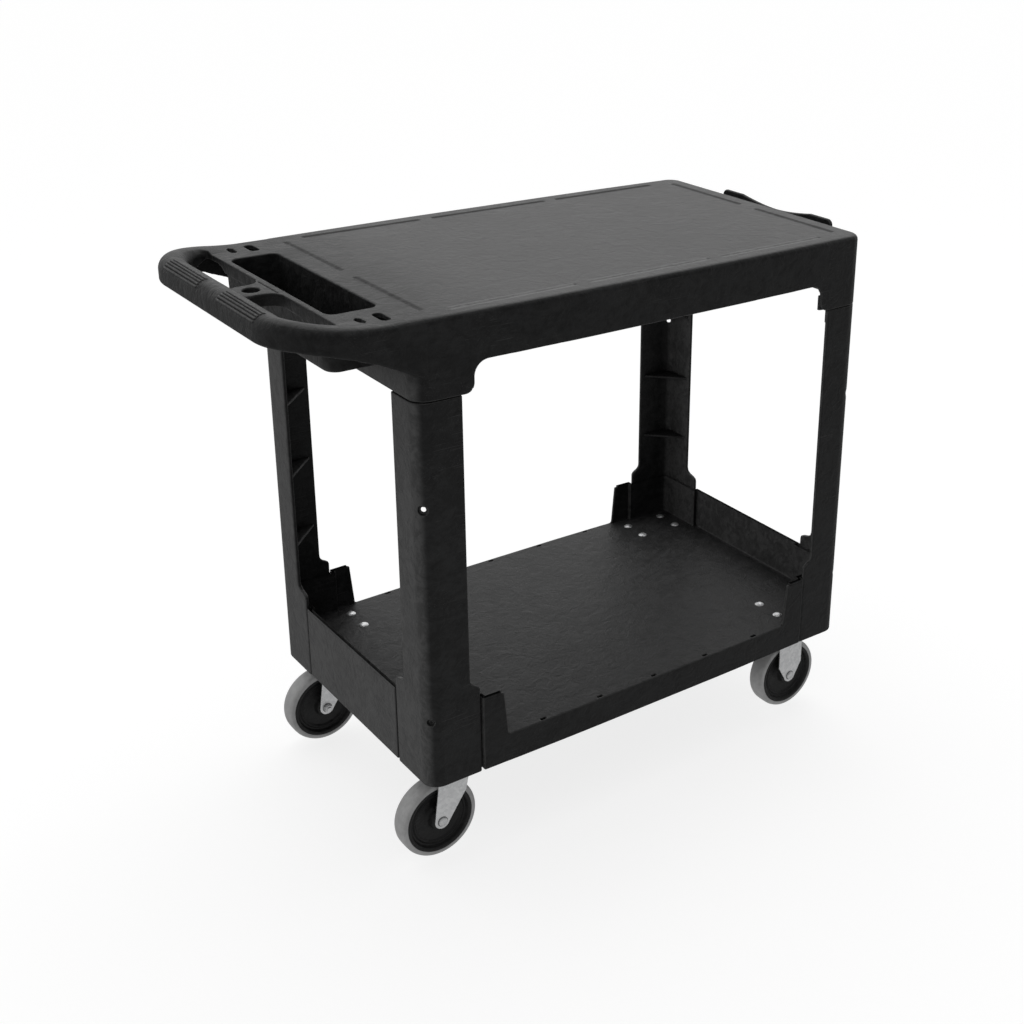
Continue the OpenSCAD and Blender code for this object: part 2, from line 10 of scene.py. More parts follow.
import bpy
import numpy as np
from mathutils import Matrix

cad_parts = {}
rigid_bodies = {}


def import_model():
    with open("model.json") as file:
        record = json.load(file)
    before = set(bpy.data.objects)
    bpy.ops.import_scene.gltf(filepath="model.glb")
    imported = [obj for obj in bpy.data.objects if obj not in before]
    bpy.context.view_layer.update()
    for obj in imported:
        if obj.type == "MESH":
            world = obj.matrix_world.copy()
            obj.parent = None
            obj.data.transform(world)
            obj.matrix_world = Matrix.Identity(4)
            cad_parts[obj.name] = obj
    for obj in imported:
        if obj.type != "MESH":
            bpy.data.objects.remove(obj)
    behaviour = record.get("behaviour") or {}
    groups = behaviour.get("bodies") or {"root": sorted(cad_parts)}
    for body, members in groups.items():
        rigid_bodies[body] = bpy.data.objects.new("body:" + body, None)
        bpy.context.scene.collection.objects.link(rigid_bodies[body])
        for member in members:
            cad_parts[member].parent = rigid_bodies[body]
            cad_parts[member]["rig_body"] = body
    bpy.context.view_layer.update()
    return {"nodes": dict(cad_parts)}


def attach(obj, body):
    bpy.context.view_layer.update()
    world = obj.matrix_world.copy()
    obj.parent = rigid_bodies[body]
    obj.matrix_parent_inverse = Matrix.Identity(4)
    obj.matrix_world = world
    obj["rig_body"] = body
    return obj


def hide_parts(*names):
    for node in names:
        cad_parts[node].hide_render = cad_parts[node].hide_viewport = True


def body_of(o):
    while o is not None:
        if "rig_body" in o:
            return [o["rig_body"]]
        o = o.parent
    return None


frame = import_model()
H, A, B = 856.0, 404.0, 243.0
SHIFT = np.array([70.0, 0.0, 0.0])


# ---------- distance functions ----------
def rmax(a, b, r):
    """Intersection with an edge rounded to radius r."""
    return np.minimum(-r, np.maximum(a, b)) + np.hypot(np.maximum(a + r, 0), np.maximum(b + r, 0))


def rmin(a, b, r):
    """Union with a fillet of radius r."""
    return np.maximum(r, np.minimum(a, b)) - np.hypot(np.maximum(r - a, 0), np.maximum(r - b, 0))


def smooth(t):
    t = np.clip(t, 0, 1)
    return t * t * (3 - 2 * t)


def band(v, lo, hi, w):
    """1 between lo and hi, falling to 0 over a width w about each end."""
    return smooth((v - lo) / w + 0.5) * smooth((hi - v) / w + 0.5)


def chaikin(pts, n):
    for _ in range(n):
        pts = [
            (p[0] * k + q[0] * (1 - k), p[1] * k + q[1] * (1 - k))
            for p, q in zip(pts, pts[1:] + pts[:1])
            for k in (0.75, 0.25)
        ]
    return pts


def poly(pts, x, y):
    """Signed distance to a closed polygon."""
    x, y = np.broadcast_arrays(x, y)
    d2 = np.full(x.shape, 1e12)
    inside = np.zeros(x.shape, bool)
    for (x0, y0), (x1, y1) in zip(pts, pts[1:] + pts[:1]):
        ex, ey = x1 - x0, y1 - y0
        wx, wy = x - x0, y - y0
        t = np.clip((wx * ex + wy * ey) / (ex * ex + ey * ey + 1e-12), 0, 1)
        d2 = np.minimum(d2, (wx - t * ex) ** 2 + (wy - t * ey) ** 2)
        if ey != 0:
            inside ^= ((y0 <= y) != (y1 <= y)) & (x < x0 + (y - y0) * ex / ey)
    return np.where(inside, -1.0, 1.0) * np.sqrt(d2)


def arc(cx, cy, r, a0, a1, n):
    return [
        (cx + r * math.cos(math.radians(a0 + (a1 - a0) * i / n)), cy + r * math.sin(math.radians(a0 + (a1 - a0) * i / n)))
        for i in range(n + 1)
    ]


# ---------- meshing ----------
def axis(*zones):
    """Grid positions from (start, stop, step) zones that follow one another."""
    out = []
    for a, b, step in zones:
        n = max(1, round((b - a) / (step * 1)))
        out += list(np.linspace(a, b, n + 1)[:-1])
    return np.array(out + [zones[-1][1]])


def mirrored(*zones):
    half = axis(*zones)
    return np.concatenate([-half[:0:-1], half])


def slope(f, p, h):
    """Gradient and Laplacian of f at points p."""
    x, y, z = p.T
    f0 = f(x, y, z)
    g = np.zeros_like(p)
    lap = -6 * f0
    for k, (a, b, c) in enumerate(((h, 0, 0), (0, h, 0), (0, 0, h))):
        hi, lo = f(x + a, y + b, z + c), f(x - a, y - b, z - c)
        g[:, k] = (hi - lo) / (2 * h)
        lap = lap + hi + lo
    return f0, g, lap / (h * h)


def settle(f, p, limit, n=3):
    """Moves points onto the surface."""
    for _ in range(n):
        v, g, _ = slope(f, p, 0.05)
        step = (v / np.maximum((g * g).sum(1), 0.2))[:, None] * g
        size = np.linalg.norm(step, axis=1)
        step *= np.minimum(1, limit / np.maximum(size, 1e-9))[:, None]
        p = p - step
    return p


def net(f, xs, ys, zs):
    """Quad mesh of the surface f = 0, one vertex for each crossed cell."""
    v = f(xs[:, None, None], ys[None, :, None], zs[None, None, :])
    v = np.ascontiguousarray(np.broadcast_to(v, (len(xs), len(ys), len(zs))))
    s = v < 0
    corners = [(i, j, k) for i in (0, 1) for j in (0, 1) for k in (0, 1)]
    part = lambda q, i, j, k: q[i : q.shape[0] - 1 + i, j : q.shape[1] - 1 + j, k : q.shape[2] - 1 + k]
    count = sum(part(s, *c).astype(np.int8) for c in corners)
    mixed = (count > 0) & (count < 8)
    ci, cj, ck = np.nonzero(mixed)
    index = np.full(mixed.shape, -1, np.int64)
    index[mixed] = np.arange(len(ci))
    val = {c: v[ci + c[0], cj + c[1], ck + c[2]] for c in corners}
    pos = {c: np.stack([xs[ci + c[0]], ys[cj + c[1]], zs[ck + c[2]]], 1) for c in corners}
    total, hits = np.zeros((len(ci), 3)), np.zeros(len(ci))
    for a in corners:
        for k in range(3):
            if a[k] == 0:
                b = tuple(1 if m == k else a[m] for m in range(3))
                cross = (val[a] < 0) != (val[b] < 0)
                t = np.where(cross, val[a] / np.where(cross, val[a] - val[b], 1), 0)
                total += np.where(cross[:, None], pos[a] + t[:, None] * (pos[b] - pos[a]), 0)
                hits += cross
    verts = total / hits[:, None]
    faces = []
    for k, (u, w) in enumerate(((1, 2), (2, 0), (0, 1))):
        lo = [slice(None)] * 3
        hi = [slice(None)] * 3
        lo[k], hi[k] = slice(0, -1), slice(1, None)
        for m in (u, w):
            lo[m] = hi[m] = slice(1, -1)
        a, b = s[tuple(lo)], s[tuple(hi)]
        cell = np.stack(np.nonzero(a != b), 1)
        out = a[a != b]
        cell[:, u] += 1
        cell[:, w] += 1
        quad = []
        for du, dw in ((-1, -1), (0, -1), (0, 0), (-1, 0)):
            c = cell.copy()
            c[:, u] += du
            c[:, w] += dw
            quad.append(index[c[:, 0], c[:, 1], c[:, 2]])
        quad = np.stack(quad, 1)
        quad[~out] = quad[~out][:, ::-1]
        faces.append(quad)
    faces = np.concatenate(faces)
    return verts, faces


def raw_mesh(name, verts, faces):
    """Mesh from points in metres and faces of one size."""
    n, k = faces.shape
    me = bpy.data.meshes.new(name)
    me.vertices.add(len(verts))
    me.vertices.foreach_set("co", np.asarray(verts, np.float32).ravel())
    me.loops.add(n * k)
    me.loops.foreach_set("vertex_index", faces.astype(np.int32).ravel())
    me.polygons.add(n)
    me.polygons.foreach_set("loop_start", np.arange(0, n * k, k, dtype=np.int32))
    me.update(calc_edges=True)
    me.validate()
    return me


def thinned(verts, faces, ratio):
    """The mesh with its flat parts reduced to fewer triangles."""
    me = raw_mesh("thin", verts / 1000, faces)
    ob = bpy.data.objects.new("thin", me)
    bpy.context.scene.collection.objects.link(ob)
    mod = ob.modifiers.new("thin", "DECIMATE")
    mod.ratio = ratio
    done = bpy.data.meshes.new_from_object(ob.evaluated_get(bpy.context.evaluated_depsgraph_get()))
    co = np.zeros(len(done.vertices) * 3, np.float32)
    done.vertices.foreach_get("co", co)
    done.calc_loop_triangles()
    tri = np.zeros(len(done.loop_triangles) * 3, np.int32)
    done.loop_triangles.foreach_get("vertices", tri)
    bpy.data.objects.remove(ob)
    bpy.data.meshes.remove(me)
    bpy.data.meshes.remove(done)
    return co.reshape(-1, 3).astype(float) * 1000, tri.reshape(-1, 3)


def solid(f, xs, ys, zs, limit=200000, ratio=None, h=1.6):
    """(points, faces, normals, wear) of a distance function, in its own millimetres."""
    verts, faces = net(f, xs, ys, zs)
    verts = settle(f, verts, 1.2)
    tris = 2 * len(faces)
    keep = min(1.0, (limit * 0.94) / tris) if ratio is None else min(ratio, (limit * 0.94) / tris)
    if keep < 0.98:
        verts, faces = thinned(verts, faces, keep)
        verts = settle(f, verts, 0.4, 2)
    _, g, _ = slope(f, verts, 0.22)
    g /= np.maximum(np.linalg.norm(g, axis=1), 1e-6)[:, None]
    _, _, lap = slope(f, verts, h)
    return verts, faces, g, np.clip((lap - 0.07) * 2.2, 0, 1)


def rounded(pts, k=5):
    """Polyline through (x, y, radius) corners of a closed profile, corners replaced by arcs."""
    out = []
    n = len(pts)
    for i in range(n):
        x, y, r = pts[i]
        if r == 0:
            out.append((x, y))
            continue
        p, a, b = np.array([x, y]), np.array(pts[i - 1][:2]), np.array(pts[(i + 1) % n][:2])
        u, v = (a - p) / np.linalg.norm(a - p), (b - p) / np.linalg.norm(b - p)
        ang = math.acos(np.clip(u @ v, -1, 1))
        d = min(r / math.tan(ang / 2), 0.48 * np.linalg.norm(a - p), 0.48 * np.linalg.norm(b - p))
        for t in np.linspace(0, 1, k):
            q = p + u * d * (1 - t) ** 2 + v * d * t**2
            out.append((q[0], q[1]))
    return out


def lathe(profile, n=72):
    """Turned solid about +Z from a closed (radius, height) profile that keeps off the axis or touches it at its ends."""
    pts = [(max(r, 0.02), z) for r, z in profile]
    if sum((b[0] - a[0]) * (b[1] + a[1]) for a, b in zip(pts, pts[1:] + pts[:1])) > 0:
        pts = pts[::-1]
    m = len(pts)
    ang = np.arange(n) * 2 * math.pi / n
    verts = np.array([(r * math.cos(t), r * math.sin(t), z) for t in ang for r, z in pts])
    i, k = np.meshgrid(np.arange(n), np.arange(m), indexing="ij")
    i, k = i.ravel(), k.ravel()
    faces = np.stack([i * m + k, ((i + 1) % n) * m + k, ((i + 1) % n) * m + (k + 1) % m, i * m + (k + 1) % m], 1)
    return verts, faces, None, None


def turn(shape, m, move=(0, 0, 0), scale=(1, 1, 1)):
    """The shape under a rotation matrix, mirror scale and shift."""
    verts, faces, normals, convexity = shape
    m = np.asarray(m, float) @ np.diag(scale)
    verts = verts @ m.T + np.asarray(move, float)
    if normals is not None:
        normals = normals @ m.T
    if np.linalg.det(m) < 0:
        faces = faces[:, ::-1]
    return verts, faces, normals, convexity


EYE = np.eye(3)
TO_MINUS_Y = np.array([[1, 0, 0], [0, 0, -1], [0, 1, 0]], float)  # +Z to -Y
TO_PLUS_Y = np.array([[1, 0, 0], [0, 0, 1], [0, -1, 0]], float)  # +Z to +Y
TO_PLUS_X = np.array([[0, 0, 1], [0, 1, 0], [-1, 0, 0]], float)  # +Z to +X


def joined(shapes):
    out, base = [[], [], [], []], 0
    for v, f, n, w in shapes:
        out[0].append(v)
        out[1].append(f + base)
        out[2].append(n)
        out[3].append(w)
        base += len(v)
    has = out[2][0] is not None
    return (
        np.concatenate(out[0]),
        np.concatenate(out[1]),
        np.concatenate(out[2]) if has else None,
        np.concatenate(out[3]) if has else None,
    )


def piece(node, shape, body, slot, material, sharp=38):
    """Shown piece that stands for one CAD node."""
    verts, faces, normals, convexity = shape
    me = raw_mesh("look_" + node, (verts + SHIFT) / 1000, faces)
    me.shade_smooth()
    if normals is not None:
        me.normals_split_custom_set_from_vertices([tuple(v) for v in normals])
        me.attributes.new("convexity", "FLOAT", "POINT").data.foreach_set("value", convexity.astype(np.float32))
    else:
        me.set_sharp_from_angle(angle=math.radians(sharp))
    ob = bpy.data.objects.new("look_" + node, me)
    bpy.context.scene.collection.objects.link(ob)
    me.materials.append(material)
    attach(ob, body)
    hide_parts(node)
    return ob


# ---------- materials ----------
class Graph:
    """Small helper for building a node material."""

    def __init__(self, name):
        self.mat = bpy.data.materials.new(name)
        self.mat.use_nodes = True
        self.tree = self.mat.node_tree
        self.tree.nodes.clear()
        self.coord = self.node("ShaderNodeTexCoord").outputs["Object"]
        self.bsdf = self.node("ShaderNodeBsdfPrincipled")
        out = self.node("ShaderNodeOutputMaterial")
        self.link(self.bsdf.outputs[0], out.inputs[0])

    def node(self, kind, **props):
        n = self.tree.nodes.new(kind)
        for k, v in props.items():
            setattr(n, k, v)
        return n

    def link(self, a, b):
        self.tree.links.new(a, b)

    def put(self, socket, value):
        if hasattr(value, "links"):
            self.link(value, socket)
        else:
            socket.default_value = value

    def noise(self, scale, detail=3.0, stretch=None, rough=0.55, distort=0.0):
        n = self.node("ShaderNodeTexNoise")
        n.inputs["Scale"].default_value = scale
        n.inputs["Detail"].default_value = detail
        n.inputs["Roughness"].default_value = rough
        n.inputs["Distortion"].default_value = distort
        if stretch:
            m = self.node("ShaderNodeMapping")
            m.inputs["Scale"].default_value = stretch
            self.link(self.coord, m.inputs[0])
            self.link(m.outputs[0], n.inputs["Vector"])
        else:
            self.link(self.coord, n.inputs["Vector"])
        return n.outputs["Fac"]

    def math(self, op, a, b=0.0, clamp=False):
        n = self.node("ShaderNodeMath", operation=op, use_clamp=clamp)
        self.put(n.inputs[0], a)
        self.put(n.inputs[1], b)
        return n.outputs[0]

    def remap(self, v, a, b, c, d):
        n = self.node("ShaderNodeMapRange", interpolation_type="SMOOTHSTEP")
        for s, x in zip(n.inputs, (v, a, b, c, d)):
            self.put(s, x)
        return n.outputs[0]

    def mix(self, f, a, b):
        n = self.node("ShaderNodeMix", data_type="RGBA")
        for s, x in zip((n.inputs[0], n.inputs[6], n.inputs[7]), (f, a, b)):
            self.put(s, x)
        return n.outputs[2]

    def bump(self, height, strength, distance, after=None):
        n = self.node("ShaderNodeBump")
        n.inputs["Strength"].default_value = strength
        n.inputs["Distance"].default_value = distance
        self.link(height, n.inputs["Height"])
        if after is not None:
            self.link(after, n.inputs["Normal"])
        return n.outputs[0]

    def edge_mask(self, lo, hi):
        """Edge mask: strongly curved convex edges, broken up by noise."""
        a = self.node("ShaderNodeAttribute", attribute_name="convexity").outputs["Fac"]
        p = self.node("ShaderNodeNewGeometry").outputs["Pointiness"]
        edge = self.math("MAXIMUM", a, self.remap(p, 0.53, 0.6, 0.0, 0.8))
        grit = self.noise(120, 4.0)
        return self.remap(self.math("MULTIPLY", edge, self.math("ADD", grit, 0.35)), lo, hi, 0.0, 1.0)

    def facing_up(self):
        n = self.node("ShaderNodeSeparateXYZ")
        self.link(self.node("ShaderNodeNewGeometry").outputs["Normal"], n.inputs[0])
        return n.outputs[2]


def grey(v, tint=0.0):
    return (v, v * (1 + tint * 0.5), v * (1 + tint), 1.0)


GROOVES = ((-337, -135), (-113, 105), (127, 330))


def plastic(name, dark, light, top, rough=0.5, spec=0.2, painted_end_light=0.106, grooves=False):
    """Structural-foam plastic: cloudy mottling, flow streaks, leather-like grain, a painted sheen that lightens upward
    faces (decks), painted light on faces turned to the handle end, rubbed edges that also carry a painted highlight,
    and fine scratches."""
    g = Graph(name)
    cloud = g.noise(7.0, 6.0, None, 0.66, 1.2)
    blotch = g.noise(34.0, 6.0, None, 0.68, 1.6)
    streak = g.noise(10.0, 6.0, (1.4, 5.0, 3.0), 0.7, 2.2)
    mottle = g.math("ADD", g.math("MULTIPLY", cloud, 0.25), g.math("ADD", g.math("MULTIPLY", blotch, 0.4), g.math("MULTIPLY", streak, 0.35)))
    patch = g.remap(mottle, 0.43, 0.59, 0.0, 1.0)
    colour = g.mix(patch, grey(dark, 0.03), grey(light, 0.03))
    speck = g.remap(g.noise(620, 2.0), 0.62, 0.7, 0.0, 1.0)
    colour = g.mix(g.math("MULTIPLY", speck, 0.12), colour, grey(light * 2.2))
    n = g.node("ShaderNodeSeparateXYZ")
    g.link(g.node("ShaderNodeNewGeometry").outputs["Normal"], n.inputs[0])
    c = g.node("ShaderNodeSeparateXYZ")
    g.link(g.coord, c.inputs[0])
    # painted sheen: upward faces lighter, less so towards the handle end and on the lower shelf
    painted_top_sheen = g.math("MULTIPLY", g.remap(n.outputs[2], 0.75, 0.98, 0.0, 1.0), g.remap(c.outputs[0], -0.35, -0.15, 0.42, 1.0))
    painted_top_sheen = g.math("MULTIPLY", painted_top_sheen, g.remap(c.outputs[2], 0.3, 0.7, 0.38, 1.0))
    # painted light: faces turned to the handle end (-X) lighter, below the handle
    rear = g.math("MULTIPLY", g.remap(n.outputs[0], -0.55, -0.9, 0.0, 1.0), g.remap(c.outputs[2], 0.74, 0.81, 1.0, 0.0))
    colour = g.mix(g.math("MULTIPLY", rear, g.remap(patch, 0.0, 1.0, 0.55, 1.0)), colour, grey(painted_end_light))
    colour = g.mix(g.math("MULTIPLY", painted_top_sheen, g.remap(patch, 0.0, 1.0, 0.62, 1.0)), colour, grey(top))
    if grooves:
        # painted highlight in the grooves on the near (-Y) side, painted shade in the far and end grooves
        y = g.math("ABSOLUTE", c.outputs[1])
        x = g.math("SUBTRACT", c.outputs[0], 0.07)
        runs = 0.0
        for a, b in GROOVES:
            run = g.math("MULTIPLY", g.remap(x, (a - 1) / 1000, (a + 3) / 1000, 0.0, 1.0), g.remap(x, (b - 3) / 1000, (b + 1) / 1000, 1.0, 0.0))
            runs = g.math("ADD", runs, run)
        side = g.math("MULTIPLY", g.remap(g.math("ABSOLUTE", g.math("SUBTRACT", y, 0.217)), 0.0045, 0.008, 1.0, 0.0), runs)
        ends = g.math("ABSOLUTE", g.math("SUBTRACT", g.math("ABSOLUTE", x), 0.371))
        ends = g.math("MULTIPLY", g.remap(ends, 0.004, 0.0085, 1.0, 0.0), g.math("MULTIPLY", g.remap(y, 0.018, 0.024, 0.0, 1.0), g.remap(y, 0.198, 0.207, 1.0, 0.0)))
        near = g.remap(c.outputs[1], -0.01, 0.01, 1.0, 0.0)
        high = g.remap(c.outputs[2], 0.845, 0.85, 0.0, 1.0)
        pale = g.math("MULTIPLY", g.math("MULTIPLY", side, near), high)
        painted_groove_shade = g.math("MULTIPLY", g.math("MAXIMUM", ends, g.math("SUBTRACT", side, near)), high)
        colour = g.mix(g.math("MULTIPLY", pale, g.remap(patch, 0.0, 1.0, 0.6, 1.0)), colour, grey(top * 1.9))
        colour = g.mix(g.math("MULTIPLY", painted_groove_shade, 0.6), colour, grey(dark * 1.3))
    scratch_a = g.noise(3.0, 2.0, (4.0, 260.0, 260.0), 0.5, 0.0)
    scratch_b = g.noise(3.0, 2.0, (240.0, 6.0, 240.0), 0.5, 0.0)
    broken = g.remap(g.noise(14.0, 2.0), 0.5, 0.62, 0.0, 1.0)
    scratch = g.math("MULTIPLY", broken, g.math("MAXIMUM", g.remap(scratch_a, 0.66, 0.7, 0.0, 1.0), g.remap(scratch_b, 0.66, 0.7, 0.0, 1.0)))
    colour = g.mix(g.math("MULTIPLY", scratch, 0.5), colour, grey(light * 3.2))
    edge_mask = g.edge_mask(0.25, 0.9)
    # rubbed edges, lightened also as a painted edge highlight
    colour = g.mix(g.math("MULTIPLY", edge_mask, 0.6), colour, grey(light * 3.0))
    g.link(colour, g.bsdf.inputs["Base Color"])
    ro = g.math("ADD", g.remap(patch, 0.0, 1.0, rough - 0.05, rough + 0.1), g.math("MULTIPLY", edge_mask, -0.08))
    g.link(g.math("ADD", ro, g.math("MULTIPLY", scratch, 0.08)), g.bsdf.inputs["Roughness"])
    g.bsdf.inputs["Specular IOR Level"].default_value = spec
    n = g.bump(g.noise(42, 5.0, None, 0.62, 1.0), 0.6, 0.004)
    n = g.bump(g.noise(130, 4.0, None, 0.6), 0.4, 0.001, n)
    n = g.bump(g.noise(430, 3.0, None, 0.6), 0.3, 0.0003, n)
    n = g.bump(g.math("MULTIPLY", scratch, -1.0), 0.3, 0.0002, n)
    g.link(n, g.bsdf.inputs["Normal"])
    return g.mat


def zinc(name, dark, light, rough=0.36, edge=0.93, shadowed_axles=()):
    """Zinc-plated steel: fine spangle, wiping marks, edges painted brighter as a highlight."""
    g = Graph(name)
    cells = g.node("ShaderNodeTexVoronoi", feature="F1")
    cells.inputs["Scale"].default_value = 210
    g.link(g.coord, cells.inputs["Vector"])
    tone = g.node("ShaderNodeSeparateXYZ")
    g.link(cells.outputs["Color"], tone.inputs[0])
    cloud = g.noise(38, 5.0, None, 0.6, 0.5)
    mix = g.math("ADD", g.math("MULTIPLY", tone.outputs[0], 0.35), g.math("MULTIPLY", cloud, 0.65))
    colour = g.mix(g.remap(mix, 0.3, 0.72, 0.0, 1.0), grey(dark, 0.02), grey(light, 0.01))
    dull = g.remap(g.noise(17, 4.0), 0.55, 0.75, 0.0, 1.0)
    colour = g.mix(g.math("MULTIPLY", dull, 0.22), colour, grey(light * 0.55, 0.02))
    edge_mask = g.edge_mask(0.2, 0.8)
    # painted highlight: convex edges lighter
    colour = g.mix(g.math("MULTIPLY", edge_mask, 0.6), colour, grey(edge))
    c = g.node("ShaderNodeSeparateXYZ")
    g.link(g.coord, c.inputs[0])
    for at in shadowed_axles:
        # painted shadow: a dark ring round the bolt head
        dx, dz = g.math("SUBTRACT", c.outputs[0], at), g.math("SUBTRACT", c.outputs[2], 0.0625)
        d = g.math("SQRT", g.math("ADD", g.math("MULTIPLY", dx, dx), g.math("MULTIPLY", dz, dz)))
        ring = g.remap(g.math("ABSOLUTE", g.math("SUBTRACT", d, 0.0076)), 0.0004, 0.0012, 0.8, 0.0)
        colour = g.mix(ring, colour, grey(0.05))
    g.link(colour, g.bsdf.inputs["Base Color"])
    g.bsdf.inputs["Metallic"].default_value = 0.82
    brush = g.noise(5.0, 3.0, (10.0, 10.0, 240.0), 0.6)
    ro = g.math("ADD", g.remap(mix, 0.3, 0.7, rough - 0.05, rough + 0.1), g.math("MULTIPLY", dull, 0.12))
    g.link(g.math("ADD", ro, g.math("MULTIPLY", edge_mask, -0.1)), g.bsdf.inputs["Roughness"])
    n = g.bump(brush, 0.12, 0.0002)
    n = g.bump(g.noise(700, 2.0), 0.15, 0.00015, n)
    n = g.bump(g.noise(45, 2.0), 0.2, 0.0008, n)
    g.link(n, g.bsdf.inputs["Normal"])
    return g.mat


def rubber(name, dark, light, rough=0.62):
    """Grey thermoplastic rubber: cloudy, scuffed on the tread, soft grain."""
    g = Graph(name)
    cloud = g.noise(26, 5.0, None, 0.6, 0.6)
    fine = g.noise(110, 3.0)
    mottle = g.math("ADD", g.math("MULTIPLY", cloud, 0.6), g.math("MULTIPLY", fine, 0.4))
    colour = g.mix(g.remap(mottle, 0.36, 0.64, 0.0, 1.0), grey(dark), grey(light))
    scuff = g.remap(g.noise(60, 4.0, (1.0, 5.0, 1.0)), 0.6, 0.72, 0.0, 1.0)
    colour = g.mix(g.math("MULTIPLY", scuff, 0.3), colour, grey(dark * 0.6))
    edge_mask = g.edge_mask(0.2, 0.9)
    colour = g.mix(g.math("MULTIPLY", edge_mask, 0.3), colour, grey(light * 1.25))
    g.link(colour, g.bsdf.inputs["Base Color"])
    g.link(g.math("ADD", g.remap(fine, 0.3, 0.7, rough - 0.06, rough + 0.06), g.math("MULTIPLY", scuff, 0.1)), g.bsdf.inputs["Roughness"])
    g.bsdf.inputs["Specular IOR Level"].default_value = 0.4
    n = g.bump(fine, 0.2, 0.0006)
    n = g.bump(g.noise(520, 2.0), 0.25, 0.0003, n)
    g.link(n, g.bsdf.inputs["Normal"])
    return g.mat


# the third colour is the painted sheen of upward faces, the sixth the painted light of faces turned to the handle end
SHELF = plastic("shelf_plastic", 0.011, 0.025, 0.11, grooves=True)
POST = plastic("post_plastic", 0.0125, 0.028, 0.035)
CORE = plastic("wheel_plastic", 0.008, 0.014, 0.015, 0.42, 0.3, 0.015)
ZINC = zinc("zinc_steel", 0.78, 0.95, 0.38, shadowed_axles=(-0.3003, 0.4))
BOLT = zinc("zinc_bolts", 0.72, 0.9, 0.42)
# post screws painted near black: painted shade of the deep counterbores they sit in, not their zinc colour
SCREW_SHADE = zinc("dark_screws", 0.02, 0.035, 0.5, 0.08)
TYRE = rubber("tyre_rubber", 0.46, 0.58)

# ---------- upper shelf ----------
OPENING = chaikin(
    [
        (-487.5, 206), (-491, 209), (-497, 208.5), (-506, 204), (-516, 197), (-525, 187), (-531, 173), (-533.8, 152),
        (-534, 60), (-533.5, 30), (-524, 25.5), (-505, 26), (-495, 31), (-489, 40), (-487.5, 48),
    ],
    2,
)


def bow(x):
    return 6 * (1 - np.clip((np.abs(x) - 120) / 284, 0, 1) ** 1.6)


